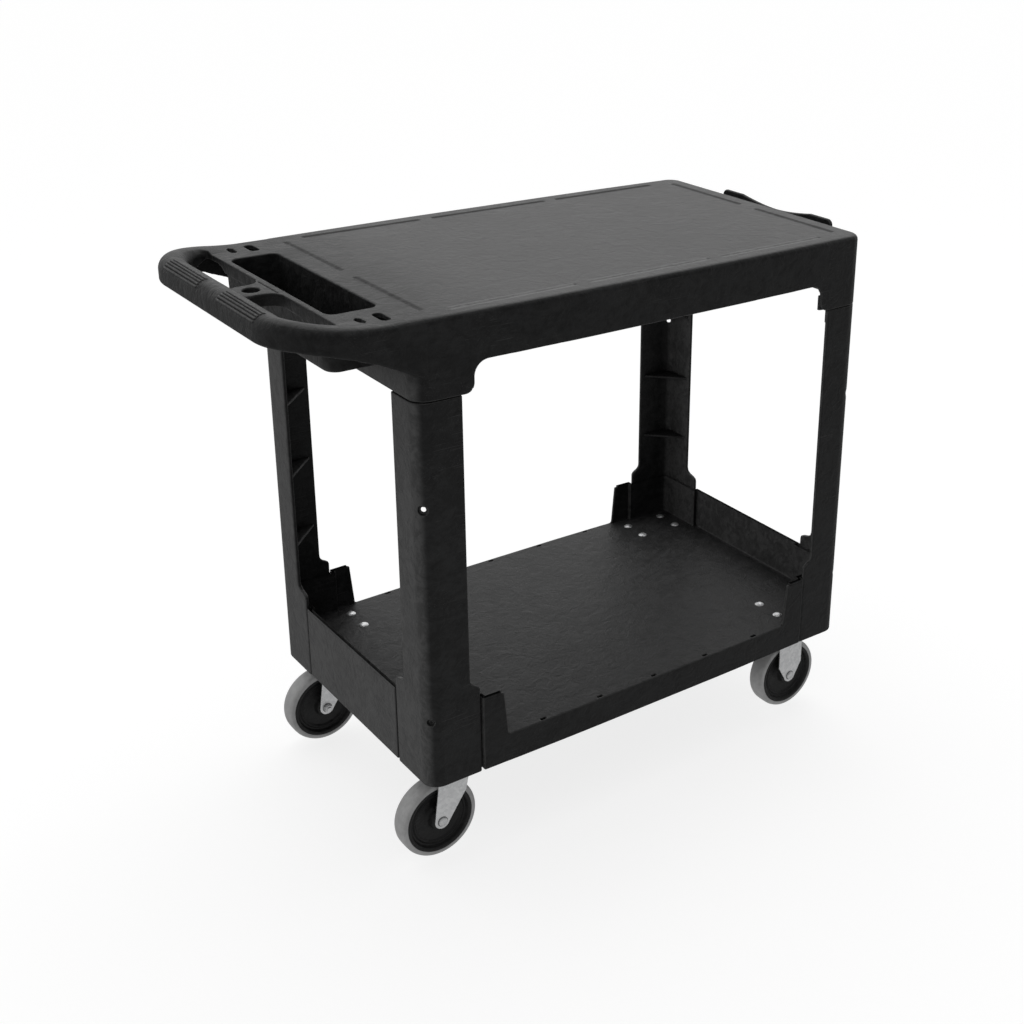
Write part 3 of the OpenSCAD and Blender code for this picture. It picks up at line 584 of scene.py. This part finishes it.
def top_shelf(x, y, z):
    ax, ay = np.abs(x), np.abs(y)
    plan = rmax(ax - A, ay - (B + bow(x)), 25)
    body = np.maximum(rmax(plan, z - H, 8.5), -rmax(plan + 5.5, z - (H - 6), 4))
    arch = rmin(rmax(ax - 316.5, z - 787, 22), z - 743.2, 14)
    body = rmax(body, -arch, 1.4)
    # ribs under the deck
    rib = np.minimum(np.minimum(ay, np.abs(ay - 120)), np.minimum(ax, np.minimum(np.abs(ax - 135), np.abs(ax - 270)))) - 2
    rib = np.maximum(np.maximum(rib, plan + 3), np.maximum(H - 40 - z, z - (H - 3)))
    # handle: r outwards from the corner centre, phi round the corner, e along the arm
    dx, dy = -484 - x, ay - 148
    px, py = np.maximum(dx, 0), np.maximum(dy, 0)
    r = np.hypot(px, py) + np.minimum(np.maximum(dx, dy), 0)
    phi = np.degrees(np.arctan2(py, px))
    e = np.maximum(-dx, 0)
    c = 14 * (1 - smooth(((phi - 20) * 1.344 + e) / 146))
    hem = np.where(
        e > 0,
        np.interp(e, [0, 6, 29, 54, 84, 105], [37, 40, 48.5, 60, 76, 86]),
        np.interp(phi, [0, 30, 45, 52, 65, 75, 84, 90], [21.5, 21.5, 22.5, 24, 27, 30.5, 34.5, 37]),
    )
    t = np.clip((r - 50) / 27, 0, 1)
    crown = H + c * (1 - (1 - t) ** 1.8)
    g = np.hypot(1, c * 0.0667 * (1 - t) ** 0.8)
    roof = (z - crown) / g
    open_ = poly(OPENING, x, ay)
    soft = 1.5 + 1.5 * np.clip((-489 - x) / 5, 0, 1) + 6.5 * smooth((r - 40) / 10) * smooth((88 - phi) / 14)
    skin = rmax(rmax(roof, r - 95, 9 + 9.5 * c / 14), -open_, soft)
    lip = 18 - 10 * smooth((phi - 60) / 30)
    shell = np.maximum(rmax(skin, H - hem - z, 5), x + 385)
    shell = rmax(shell, -(skin + 6.3), 1.2)
    shell = np.maximum(shell, np.where(open_ < 14, H - lip - z, -40.0))
    # tool tray
    tray = rmax(rmax(-487.4 - x, ay - 165, 24) + 0.03 * (H - z), 775.5 - z, 8)
    tray = np.maximum(tray, np.maximum(z - (H - 1), x + 399))
    q = np.hypot(x + 514, y)
    ring = np.maximum(q - 16, np.maximum(H - 20 - z, z - (H - 1)))
    s = np.minimum(np.minimum(body, rib), np.minimum(shell, np.minimum(tray, ring)))
    cavity = rmax(np.abs(x + 442.5) - 36, ay - 158, 13) + 0.02 * (H - z)
    s = rmax(s, -rmax(cavity, 780 - z, 9), 2.2)
    s = rmax(s, 12 - q, 2)
    s = rmax(s, 7 - np.hypot(x + 425.5, np.maximum(np.abs(ay - 200) - 10.5, 0)), 1.2)
    lx, ly = np.abs(x + 456), np.abs(ay - 200.5)
    s = rmax(s, -rmax(lx - 5, (5.5 * lx + 5 * ly - 67.5) / 7.43, 1), 1.2)
    # shallow grooves in the deck
    m = sum(band(x, a, b, 5) for a, b in GROOVES) * (0.5 + 0.5 * np.cos(math.pi * np.clip(np.abs(ay - 217) / 5.5, 0, 1)))
    m = m + (0.5 + 0.5 * np.cos(math.pi * np.clip(np.abs(ax - 371) / 6, 0, 1))) * band(ay, 20, 204, 5)
    s = s + 1.8 * m * smooth((z - (H - 6)) / 4)
    s = s + 1.2 * np.exp(-(((x + 489.6) / 1.2) ** 2)) * band(ay, -5, 31, 4) * smooth((z - (H - 6)) / 4)
    # grip ridges over the crest
    k, w = r - 76.5, z - (H - 4.5)
    along = 18.5 * (math.pi / 2 - np.arctan2(w, k))
    ridge = (2.2 * np.abs(np.sin(math.pi * (along + 2.9) / 4.6)) - 0.5) * band(along, -3.2, 20.4, 0.8)
    return s - ridge * band(ay, 33, 150, 1.6) * smooth((np.hypot(k, w) - 14) / 2) * (dx > 0)


top_x = axis(
    (-583, -548, 1.1), (-548, -493, 2), (-493, -486, 0.7), (-486, -386, 2), (-386, -358, 1.8), (-358, -340, 6),
    (-340, -284, 2.5), (-284, -274, 5), (-274, -266, 1.6), (-266, -139, 9), (-139, -131, 1.3), (-131, -116, 7),
    (-116, -110, 1.3), (-110, -4, 9), (-4, 4, 1.6), (4, 102, 9), (102, 108, 1.3), (108, 124, 8), (124, 130, 1.3),
    (130, 140, 1.6), (140, 266, 9), (266, 274, 1.6), (274, 284, 5), (284, 340, 2.5), (340, 360, 6),
    (360, 378, 1.5), (378, 410, 1.7),
)
top_y = mirrored((0, 48, 1.6), (48, 116, 6), (116, 124, 1.6), (124, 146, 5), (146, 170, 1.8), (170, 186, 2.2), (186, 253, 1.5))
top_z = axis((738, 748, 1.4), (748, 764, 3), (764, 792, 1.8), (792, 832, 3.2), (832, 848, 2), (848, 875, 1.2))
piece("top_shelf", solid(top_shelf, top_x, top_y, top_z), "frame", "shelf_plastic", SHELF)


# ---------- lower shelf ----------
def bottom_shelf(x, y, z):
    ax, ay = np.abs(x), np.abs(y)
    plan = np.minimum(
        np.minimum(rmax(ax - A, ay - 144.7, 2), rmax(ax - 315.3, ay - (B + bow(x)), 1.5)), rmax(ax - 397.8, ay - 236.8, 19)
    )
    wall = np.maximum(plan, -(plan + 5.5))
    wall = rmax(rmax(wall, z - 269, 2.2), 149 - z, 1.4)
    dip = rmax(ax - (273 + 0.0946 * (z - 196)), 196 - z, 4)
    wall = rmax(wall, -dip, 2.4)
    floor = np.maximum(rmax(plan, z - 196, 3), 190.5 - z)
    floor = np.where(z > 199, np.maximum(floor, z - 196), floor)
    ribs = np.maximum(np.maximum(np.abs(ay - 60) - 2, ax - 401), np.maximum(172 - z, z - 193))
    pad_x = np.minimum(np.abs(x + 335), np.abs(x - 330)) - 50
    pads = rmax(rmax(pad_x, np.abs(ay - 190) - 34, 5), 158 - z, 1.5)
    pads = np.maximum(pads, z - 193)
    s = np.minimum(np.minimum(wall, floor), np.minimum(ribs, pads))
    # fillet between floor and the raised walls
    s = np.minimum(s, np.maximum(np.maximum(plan + 0.4, rmin(plan * -1 - 5.5, z - 196, 5) * 1.0), 190.5 - z) + (ax < 285) * 50.0)
    near = np.minimum(ax, np.minimum(np.abs(ax - 105), np.abs(ax - 210)))
    slot = np.maximum(rmax(near - 5.2, np.abs(ay - 242.5) - 2.4, 2), 186 - z)
    return rmax(s, -slot, 0.8)


slot_zone = lambda c: ((c - 9, c + 9, 1.2),)
low_x = mirrored(
    (0, 8, 1.2), (8, 96, 11), (96, 114, 1.2), (114, 201, 11), (201, 219, 1.2), (219, 266, 8), (266, 288, 2),
    (288, 312, 4), (312, 322, 1.2), (322, 374, 5), (374, 408, 1.6),
)
low_y = mirrored((0, 56, 9), (56, 64, 1.6), (64, 138, 8), (138, 162, 1.6), (162, 210, 6), (210, 253, 1.4))
low_z = axis((145, 153, 1.3), (153, 170, 3), (170, 186, 3), (186, 206, 1.2), (206, 262, 6), (262, 272, 1.2))
piece("bottom_shelf", solid(bottom_shelf, low_x, low_y, low_z), "frame", "shelf_plastic", SHELF)


# ---------- corner posts: u and v run inwards from the outer corner ----------
def post(u, v, z):
    wu = np.interp(z, [287, 291, 294, 297, 301, 306], [86, 84.5, 80, 74.5, 71, 70])
    wv = np.interp(z, [285, 290, 293, 296, 300, 307], [96, 94.5, 89, 78, 72, 70])
    skin = np.maximum(rmax(-u, -v, 25), -rmax(6 - u, 6 - v, 19))
    skin = rmax(rmax(skin, (u - wu) * 0.8, 2.6), (v - wv) * 0.8, 2.6)
    skin = rmax(rmax(skin, z - 741.6, 1.6), 147 - z, 1.6)
    inner = np.maximum(rmax(6 - u, 6 - v, 19), -rmax(11.5 - u, 11.5 - v, 13.5))
    wt = np.interp(z, [741, 743], [66, 84])
    inner = rmax(rmax(inner, np.maximum(u, v) - wt, 2), np.abs(z - 742.5) - 24.5, 2)
    near = np.minimum(np.abs(z - 366), np.minimum(np.abs(z - 486), np.abs(z - 606))) - 2
    gusset = rmax(np.maximum(np.maximum(u, v) - 62, (u + v - 70) / 1.414), near, 0.9)
    gusset = np.maximum(gusset, rmax(4 - u, 4 - v, 21))
    along, side = (u + v) / 1.41421, (u - v) / 1.41421
    hole = np.hypot(side, z - 588)
    s = np.minimum(np.minimum(skin, inner), gusset)
    s = rmax(s, 3.7 - hole, 0.4)
    s = rmax(s, -np.maximum(hole - 7, along - 14.2), 0.4)
    seat = np.hypot(side, z - 256)
    s = rmax(s, -np.maximum(seat - 5.5, along - 14), 0.4)
    return np.maximum(s, 2.6 - seat)


post_u = axis((-3, 30, 1.5), (30, 64, 4), (64, 100, 1.5))
post_z = axis(
    (145, 151, 1.4), (151, 246, 9), (246, 266, 1.4), (266, 282, 4), (282, 310, 1.5), (310, 362, 9), (362, 370, 1.4),
    (370, 482, 9), (482, 490, 1.4), (490, 576, 9), (576, 600, 1.3), (600, 610, 1.4), (610, 714, 9), (714, 746, 1.5),
    (746, 770, 1.8),
)
corner = solid(post, post_u, post_u, post_z, ratio=0.5)
for name, i, j in (("rear_right", -1, -1), ("rear_left", -1, 1), ("front_right", 1, -1), ("front_left", 1, 1)):
    piece("post_" + name, turn(corner, EYE, (i * A, j * B, 0), (-i, -j, 1)), "frame", "post_plastic", POST)


# ---------- hook rail ----------
def hook_rail(x, y, z):
    ay = np.abs(y)
    rim = np.where(ay < 86, H - 13 + 9.5 * (np.minimum(ay, 86) / 86) ** 1.7, H - 3.5)
    rise = np.where(ay < 86, 9.5 * 1.7 / 86 * (np.minimum(ay, 86) / 86) ** 0.7, 0.0)
    face = rmax((z - rim) / np.hypot(1, rise), ay - 137, 10)
    face = rmax(face, 798 - z, 8)
    s = rmax(face, np.abs(x - 436) - 3, 2.2)
    arm_y = np.minimum(np.abs(ay - 40), np.abs(ay - 112)) - 3
    top = 834 - (x - 408) * 0.05
    arms = rmax(np.maximum(arm_y, z - top), np.maximum(404 - x, x - 436), 1)
    arms = np.maximum(arms, 800 - z)
    floor = rmax(np.maximum(ay - 129, np.abs(z - 800.5) - 2.5), np.maximum(404 - x, x - 436), 0.8)
    flange = rmax(rmax(ay - 133, np.abs(z - 810) - 26, 6), np.abs(x - 406.5) - 2.5, 1)
    s = rmin(s, rmin(np.minimum(arms, floor), flange, 2), 2)
    return s


rail_x = axis((401.5, 412, 1.1), (412, 430, 3), (430, 441, 0.9))
rail_y = mirrored((0, 34, 4), (34, 46, 1.3), (46, 84, 4), (84, 106, 3), (106, 140, 1.5))
rail_z = axis((781, 806, 1.5), (806, 828, 2.6), (828, 855, 1.3))
piece("hook_rail", solid(hook_rail, rail_x, rail_y, rail_z, ratio=0.6), "frame", "post_plastic", POST)


# ---------- fasteners ----------
def cross_head(r, h, dome):
    """Pan head with a cross recess, shank below, along +Z from its seat."""

    def f(x, y, z):
        q = np.hypot(x, y)
        head = rmax(rmax(q - r, z - h, 1.0), np.hypot(q, z - h + dome) - dome, 0.4)
        head = rmax(head, -z, 0.3)
        shank = np.maximum(q - r * 0.42, np.maximum(z - 0.5, -6 - z))
        slot = np.minimum(rmax(np.abs(x) - 0.75, np.abs(y) - r * 0.52, 0.3), rmax(np.abs(y) - 0.75, np.abs(x) - r * 0.52, 0.3))
        return rmax(np.minimum(head, shank), -np.maximum(slot, h - 1.3 - z), 0.2)

    return solid(f, mirrored((0, r + 1, 0.45)), mirrored((0, r + 1, 0.45)), axis((-7, -0.5, 1.4), (-0.5, h + 1, 0.4)), h=0.6)


def hex_nut(r, h, flange=0.0):
    """Hexagon nut standing on z = 0, with bore of radius 4 and an optional flange at its base."""

    def f(x, y, z):
        q = np.hypot(x, y)
        flat = np.maximum(np.abs(x), np.abs(x) * 0.5 + np.abs(y) * 0.8660254) - r * 0.866
        s = rmax(flat, np.maximum(-z, z - h), 0.3)
        s = rmax(s, (q - r * 0.93 + (z - h) * 1.7) / 1.97, 0.3)
        if flange:
            s = np.minimum(s, rmax(q - flange, np.abs(z - 0.75) - 0.75, 0.4))
        return rmax(s, 4 - q, 0.4)

    e = max(r, flange) + 1
    return solid(f, mirrored((0, e, 0.55)), mirrored((0, e, 0.55)), axis((-1, h + 1, 0.45)), h=0.6)


screw = cross_head(5.5, 2.4, 9.0)
piece(
    "hook_rail_screws",
    joined([turn(screw, TO_PLUS_X, (A + 5, y, z)) for y in (-76, 76) for z in (791, 818)]),
    "frame", "zinc_steel", BOLT,
)
small = cross_head(4.7, 1.6, 9.0)
spots = []
for i in (-1, 1):
    for j in (-1, 1):
        out = np.array([i, j, 0]) / math.sqrt(2)  # +Z of the screw points outwards
        side = np.cross([0, 0, 1], out)
        m = np.stack([np.array([0, 0, 1.0]), np.cross(out, [0, 0, 1.0]), out], 1)
        spots.append(turn(small, m, np.array([i * A, j * B, 256]) - out * 14.0))
piece("post_screws", joined(spots), "frame", "zinc_steel", SCREW_SHADE)

places = [(x + i * 39, s * 190 + j * 23) for x in (-335, 330) for s in (-1, 1) for i in (-1, 1) for j in (-1, 1)]
dome = [(0.0, 3.15), (2.2, 3.0), (4.2, 2.5), (5.9, 1.75), (7.2, 0.95), (7.85, 0.45), (8.0, 0.2), (7.9, 0.0), (4.0, 0.0), (4.0, -48.6), (3.6, -49.0), (0.0, -49.0)]
dome_shape = lathe(dome, 40)
piece("caster_bolts", joined([turn(dome_shape, EYE, (x, y, 196)) for x, y in places]), "frame", "zinc_steel", BOLT)
flange_nut = hex_nut(6.9, 6.4, 7.6)
piece(
    "caster_nuts",
    joined([turn(flange_nut, EYE, (x, y, 154.5), (1, 1, -1)) for x, y in places]),
    "frame", "zinc_steel", BOLT,
)


# ---------- casters, about their own mounting centre ----------
def slab(x, y):
    """Plan of the top plate with its four bolt holes."""
    s = rmax(np.abs(x) - 49, np.abs(y) - 33, 8)
    return np.maximum(s, 4.3 - np.hypot(np.abs(x) - 39, np.abs(y) - 23))


def swivel_plate(x, y, z):
    q = np.hypot(x, y)
    s = rmax(slab(x, y), np.abs(z - 156.25) - 1.75, 0.7)
    cup = rmax(q - 24 - (z - 149) * 0.62, 149 - z, 1.6)
    s = rmin(s, np.maximum(cup, z - 156), 2.0)
    return np.maximum(s, 6 - q)


LEG = (
    [(-36, 146.5), (16, 146.5), (14, 132), (10.8, 122), (6.8, 103), (-23.6, 58.5)]
    + arc(-35.3, 62.5, 12.5, -20, -180, 12)
    + [(-39, 128)]
)
LEG_FIXED = [(-25.5, 159), (-25.5, 83), (-12.3, 60)] + arc(0, 62.5, 12.5, 190, 350, 12) + [(12.3, 60), (25.5, 83), (25.5, 159)]


def swivel_fork(x, y, z):
    ay = np.abs(y)
    bent = np.maximum(rmax(ay - 22.5, z - 145.5, 5.5), -rmax(ay - 19.5, z - 142, 2.5))
    s = rmax(bent, poly(LEG, x, z), 0.9)
    q = np.hypot(x, y)
    s = rmin(s, rmax(q - 34, np.abs(z - 143.75) - 1.75, 0.8), 1.5)
    return np.maximum(s, 6 - q)


def rigid_bracket(x, y, z):
    ay = np.abs(y)
    bent = np.maximum(rmax(ay - 22.5, z - 158, 4.5), -rmax(ay - 19.5, z - 154.5, 2.2))
    s = rmax(bent, poly(LEG_FIXED, x, z), 0.9)
    return rmin(s, rmax(slab(x, y), np.abs(z - 156.25) - 1.75, 0.7), 1.2)


plate = solid(swivel_plate, mirrored((0, 51, 1.3)), mirrored((0, 35, 1.3)), axis((147.5, 160, 0.8)), ratio=0.5, h=1.0)
fork = solid(swivel_fork, axis((-50, 36, 1.2)), mirrored((0, 18, 3), (18, 24, 0.8), (24, 36, 1.6)), axis((48, 138, 1.5), (138, 147, 0.7)), ratio=0.6, h=1.0)
bracket = solid(rigid_bracket, mirrored((0, 51, 1.3)), mirrored((0, 18, 2.4), (18, 24, 0.8), (24, 35, 1.3)), axis((48, 148, 1.5), (148, 160, 0.8)), ratio=0.6, h=1.0)

kingpin = lathe([(0, 158)] + rounded([(6, 158, 0.6), (6, 141.8, 0), (10.5, 141.8, 0.5), (9.0, 137.8, 1.2), (0.05, 137.4, 0)])[0:] + [(0, 137.4)], 48)
seal = lathe(rounded([(18, 145.5, 0.3), (25.6, 145.5, 0.8), (26, 148.9, 1.0), (18, 148.9, 0.3)]), 64)
head = [(0, 25.3), (4.0, 25.15), (4.7, 25.3), (5.2, 25.7), (6.0, 25.6), (6.8, 25.0), (7.1, 24.2), (7.0, 23.4), (6.4, 22.9), (6.3, 22.5), (4.0, 22.5), (4.0, -30.6), (3.4, -31.2), (0, -31.2)]
axle = lathe(head, 48)
nut = hex_nut(7.2, 6.5)
sleeve = lathe(rounded([(4.05, -19.5, 0.2), (6, -19.5, 0.4), (6, 19.5, 0.4), (4.05, 19.5, 0.2)]), 40)

half_core = [(6.05, 19, 0.5), (13, 19, 1.6), (15.2, 17.2, 1.2), (18, 9.6, 2.2), (22.5, 7.2, 3), (37.5, 8.2, 2), (40.8, 11, 1.4), (43.6, 9.0, 1.4), (46.4, 9.6, 1.2), (48.6, 14.6, 1.2), (51.2, 15.6, 0.8), (54, 15.6, 0)]
core = lathe(rounded(half_core + [(r, -h, k) for r, h, k in half_core[::-1]], 4), 112)
side = [(54, 15.3, 0.4), (56.2, 15.9, 1.4), (60.6, 15.2, 3.4), (62.2, 10.6, 2.6), (62.5, 5.0, 3)]
tyre = lathe(rounded(side + [(r, -h, k) for r, h, k in side[::-1]], 6), 144)

for side_name, s in (("right", -1), ("left", 1)):
    out = TO_MINUS_Y if s < 0 else TO_PLUS_Y
    for end, cx, trail in (("rear", -335, 35.3), ("front", 330, 0.0)):
        who = f"{end}_{side_name}_"
        at, hub = (cx, s * 190, 0), (cx - trail, s * 190, 62.5)
        holder = who + "swivel" if end == "rear" else "frame"
        wheel = who + "wheel"
        if end == "rear":
            piece(who + "plate", turn(plate, EYE, at), "frame", "zinc_steel", ZINC)
            piece(who + "kingpin", turn(kingpin, EYE, at), body_of(frame["nodes"][who + "kingpin"])[0], "zinc_steel", BOLT)
            piece(who + "seal", turn(seal, EYE, at), body_of(frame["nodes"][who + "seal"])[0], "zinc_steel", BOLT)
            piece(who + "fork", turn(fork, EYE, at), holder, "zinc_steel", ZINC)
        else:
            piece(who + "bracket", turn(bracket, EYE, at), holder, "zinc_steel", ZINC)
        for part, shape, m, kind, mat in (
            ("axle", axle, out, "zinc_steel", BOLT),
            ("axle_nut", turn(nut, EYE, (0, 0, -29)), out, "zinc_steel", BOLT),
            ("sleeve", sleeve, out, "zinc_steel", BOLT),
            ("core", core, out, "wheel_plastic", CORE),
            ("tyre", tyre, out, "tyre_rubber", TYRE),
        ):
            body = body_of(frame["nodes"][who + part])[0]
            piece(who + part, turn(shape, m, hub), body, kind, mat)

# ---------- floor ----------
bpy.ops.mesh.primitive_circle_add(vertices=96, radius=14, fill_type="NGON", location=(0, 0, -0.0004))
floor = bpy.context.object
floor.name = "studio_floor"
fm = bpy.data.materials.new("studio_floor")
fm.use_nodes = True
t = fm.node_tree
t.nodes.clear()
lp = t.nodes.new("ShaderNodeLightPath")
pale = t.nodes.new("ShaderNodeBsdfDiffuse")
pale.inputs[0].default_value = (0.3, 0.3, 0.3, 1)
glow = t.nodes.new("ShaderNodeEmission")
glow.inputs[0].default_value = (1, 1, 1, 1)
glow.inputs[1].default_value = 0.8
both = t.nodes.new("ShaderNodeAddShader")
dark = t.nodes.new("ShaderNodeEmission")
dark.inputs[0].default_value = (1, 1, 1, 1)
dark.inputs[1].default_value = 0.42
pick = t.nodes.new("ShaderNodeMixShader")
end = t.nodes.new("ShaderNodeOutputMaterial")
t.links.new(pale.outputs[0], both.inputs[0])
t.links.new(glow.outputs[0], both.inputs[1])
t.links.new(lp.outputs["Is Camera Ray"], pick.inputs[0])
t.links.new(dark.outputs[0], pick.inputs[1])
t.links.new(both.outputs[0], pick.inputs[2])
t.links.new(pick.outputs[0], end.inputs[0])
floor.data.materials.append(fm)

# ---------- studio light ----------
world = bpy.data.worlds.new("studio")
bpy.context.scene.world = world
world.use_nodes = True
t = world.node_tree
t.nodes.clear()


def wnode(kind, **props):
    n = t.nodes.new(kind)
    for k, v in props.items():
        setattr(n, k, v)
    return n


def lobe(direction, lo, hi, strength):
    """Soft bright part of the surroundings about a direction."""
    d = np.array(direction, float)
    d /= np.linalg.norm(d)
    dot = wnode("ShaderNodeVectorMath", operation="DOT_PRODUCT")
    t.links.new(where.outputs["Generated"], dot.inputs[0])
    dot.inputs[1].default_value = d
    m = wnode("ShaderNodeMapRange", interpolation_type="SMOOTHSTEP")
    t.links.new(dot.outputs["Value"], m.inputs[0])
    for k, v in zip((1, 2, 3, 4), (lo, hi, 0.0, strength)):
        m.inputs[k].default_value = v
    return m.outputs[0]


def plus(a, b):
    n = wnode("ShaderNodeMath", operation="ADD")
    t.links.new(a, n.inputs[0])
    if hasattr(b, "links"):
        t.links.new(b, n.inputs[1])
    else:
        n.inputs[1].default_value = b
    return n.outputs[0]


where = wnode("ShaderNodeTexCoord")
light = plus(lobe((0.55, 0.84, 0.3), 0.0, 0.8, 1.0), 0.24)
light = plus(light, lobe((-1, 0.1, 0.0), 0.4, 0.98, 0.32))
light = plus(light, lobe((0, 0, 1), 0.45, 1.0, 0.35))
soft = wnode("ShaderNodeBackground")
t.links.new(light, soft.inputs["Strength"])
white = wnode("ShaderNodeBackground")
white.inputs[0].default_value = (1, 1, 1, 1)
white.inputs[1].default_value = 1.0
lp = wnode("ShaderNodeLightPath")
pick = wnode("ShaderNodeMixShader")
t.links.new(lp.outputs["Is Camera Ray"], pick.inputs[0])
t.links.new(soft.outputs[0], pick.inputs[1])
t.links.new(white.outputs[0], pick.inputs[2])
t.links.new(pick.outputs[0], wnode("ShaderNodeOutputWorld").inputs[0])
bpy.context.scene.view_settings.view_transform = "Standard"
bpy.context.scene.view_settings.look = "None"

lamp = bpy.data.lights.new("soft_box", "AREA")
lamp.shape = "RECTANGLE"
lamp.size, lamp.size_y = 2.6, 2.0
lamp.energy = 9
soft_box = bpy.data.objects.new("soft_box", lamp)
soft_box.location = (0.5, 0.9, 2.9)
soft_box.rotation_euler = (math.radians(-18), math.radians(10), 0)
bpy.context.scene.collection.objects.link(soft_box)
soft_box.visible_camera = False

# ---------- camera at the photograph's place ----------
cam = bpy.data.cameras.new("camera")
eye = bpy.data.objects.new("camera", cam)
eye.location = (-1.19314, -1.8276, 1.43663)
eye.rotation_euler = (1.200001, -0.023149, -0.664108)
cam.lens, cam.sensor_width, cam.clip_end = 51.846275, 36, 100
bpy.context.scene.collection.objects.link(eye)
bpy.context.scene.camera = eye
for prop, value in (("shift_x", -0.145251), ("shift_y", -0.1007473)):
    # the lens shift holds only at this place, so that other views stay centred
    curve = cam.driver_add(prop)
    for m in list(curve.modifiers):
        curve.modifiers.remove(m)
    curve.driver.type = "AVERAGE"
    var = curve.driver.variables.new()
    var.type = "TRANSFORMS"
    var.targets[0].id = eye
    var.targets[0].transform_type = "LOC_X"
    var.targets[0].transform_space = "WORLD_SPACE"
    for place, amount in ((-100, 0), (-1.24, 0), (-1.21, value), (-1.18, value), (-1.15, 0), (100, 0)):
        key = curve.keyframe_points.insert(place, amount)
        key.interpolation = "LINEAR"
